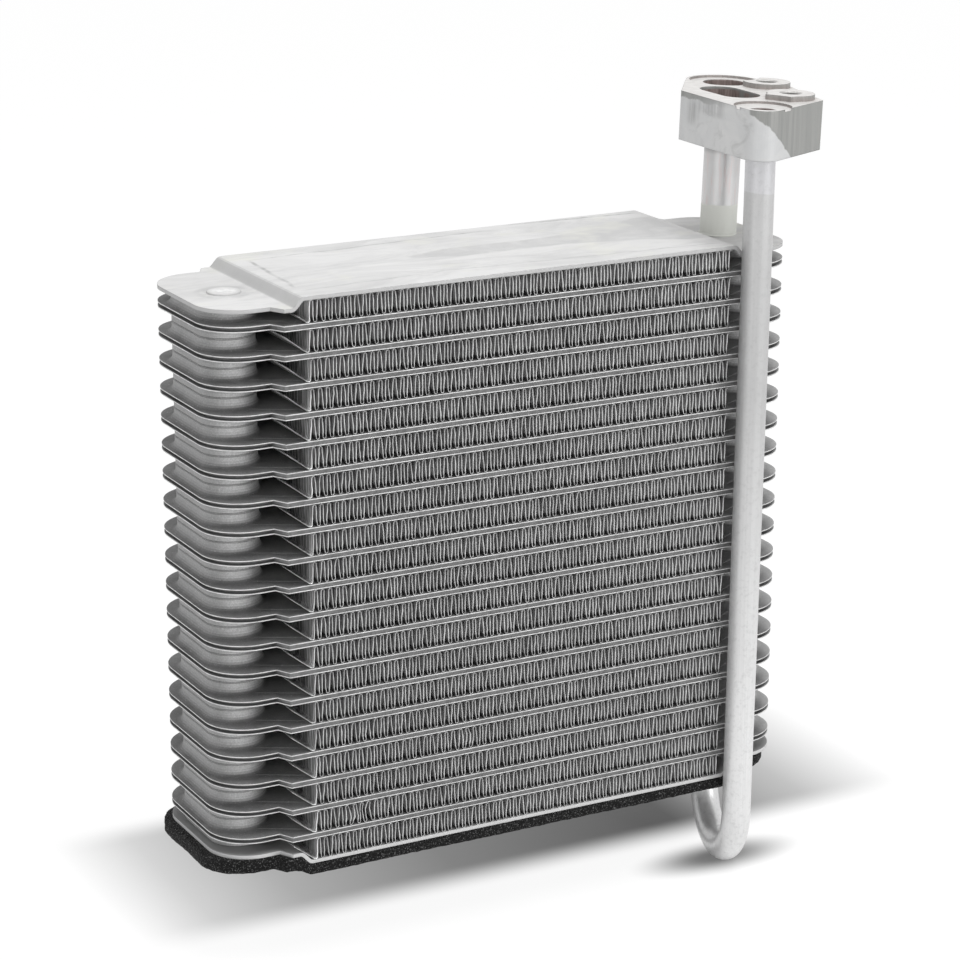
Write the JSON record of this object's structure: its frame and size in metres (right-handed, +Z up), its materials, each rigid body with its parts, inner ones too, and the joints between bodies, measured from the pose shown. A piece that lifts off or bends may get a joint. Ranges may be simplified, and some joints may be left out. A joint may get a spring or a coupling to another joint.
{
  "type": "evaporator core",
  "caption": "Brazed plate-and-fin evaporator core of a vehicle air conditioner, with end plates, two pipes to a ported connection block and a foam pad below.",
  "frame": {"origin": "middle of the finned block, at the mid-plane of the middle plate pair: the centre of the place where an air-duct case grips the core (mount case_seat)", "axes": "+X along the plates to the end with the pipes, +Y through the core with the air, from the side of the front pipe to the back, +Z up the stack to the connection block"},
  "size_m": [0.2935, 0.0992, 0.3467],
  "materials": {
    "plate": "satin, as brazed",
    "fin": "satin, as brazed",
    "end_plate": "matt, as brazed",
    "pipe": "satin, drawn",
    "block": "matt, machined",
    "foam": "soft open-cell foam"
  },
  "bodies": {
    "root": {"tube_01": "plate", "tube_02": "plate", "tube_03": "plate", "tube_04": "plate", "tube_05": "plate", "tube_06": "plate", "tube_07": "plate", "tube_08": "plate", "tube_09": "plate", "tube_10": "plate", "tube_11": "plate", "tube_12": "plate", "tube_13": "plate", "tube_14": "plate", "tube_15": "plate", "tube_16": "plate", "tube_17": "plate", "tube_18": "plate", "tube_19": "plate", "fin_01": "fin", "fin_02": "fin", "fin_03": "fin", "fin_04": "fin", "fin_05": "fin", "fin_06": "fin", "fin_07": "fin", "fin_08": "fin", "fin_09": "fin", "fin_10": "fin", "fin_11": "fin", "fin_12": "fin", "fin_13": "fin", "fin_14": "fin", "fin_15": "fin", "fin_16": "fin", "fin_17": "fin", "fin_18": "fin", "fin_19": "fin", "fin_20": "fin", "top_end_plate": "end_plate", "bottom_end_plate": "end_plate", "suction_pipe": "pipe", "liquid_pipe": "pipe", "connection_block": "block", "foam_pad": "foam"}
  },
  "joints": []
}
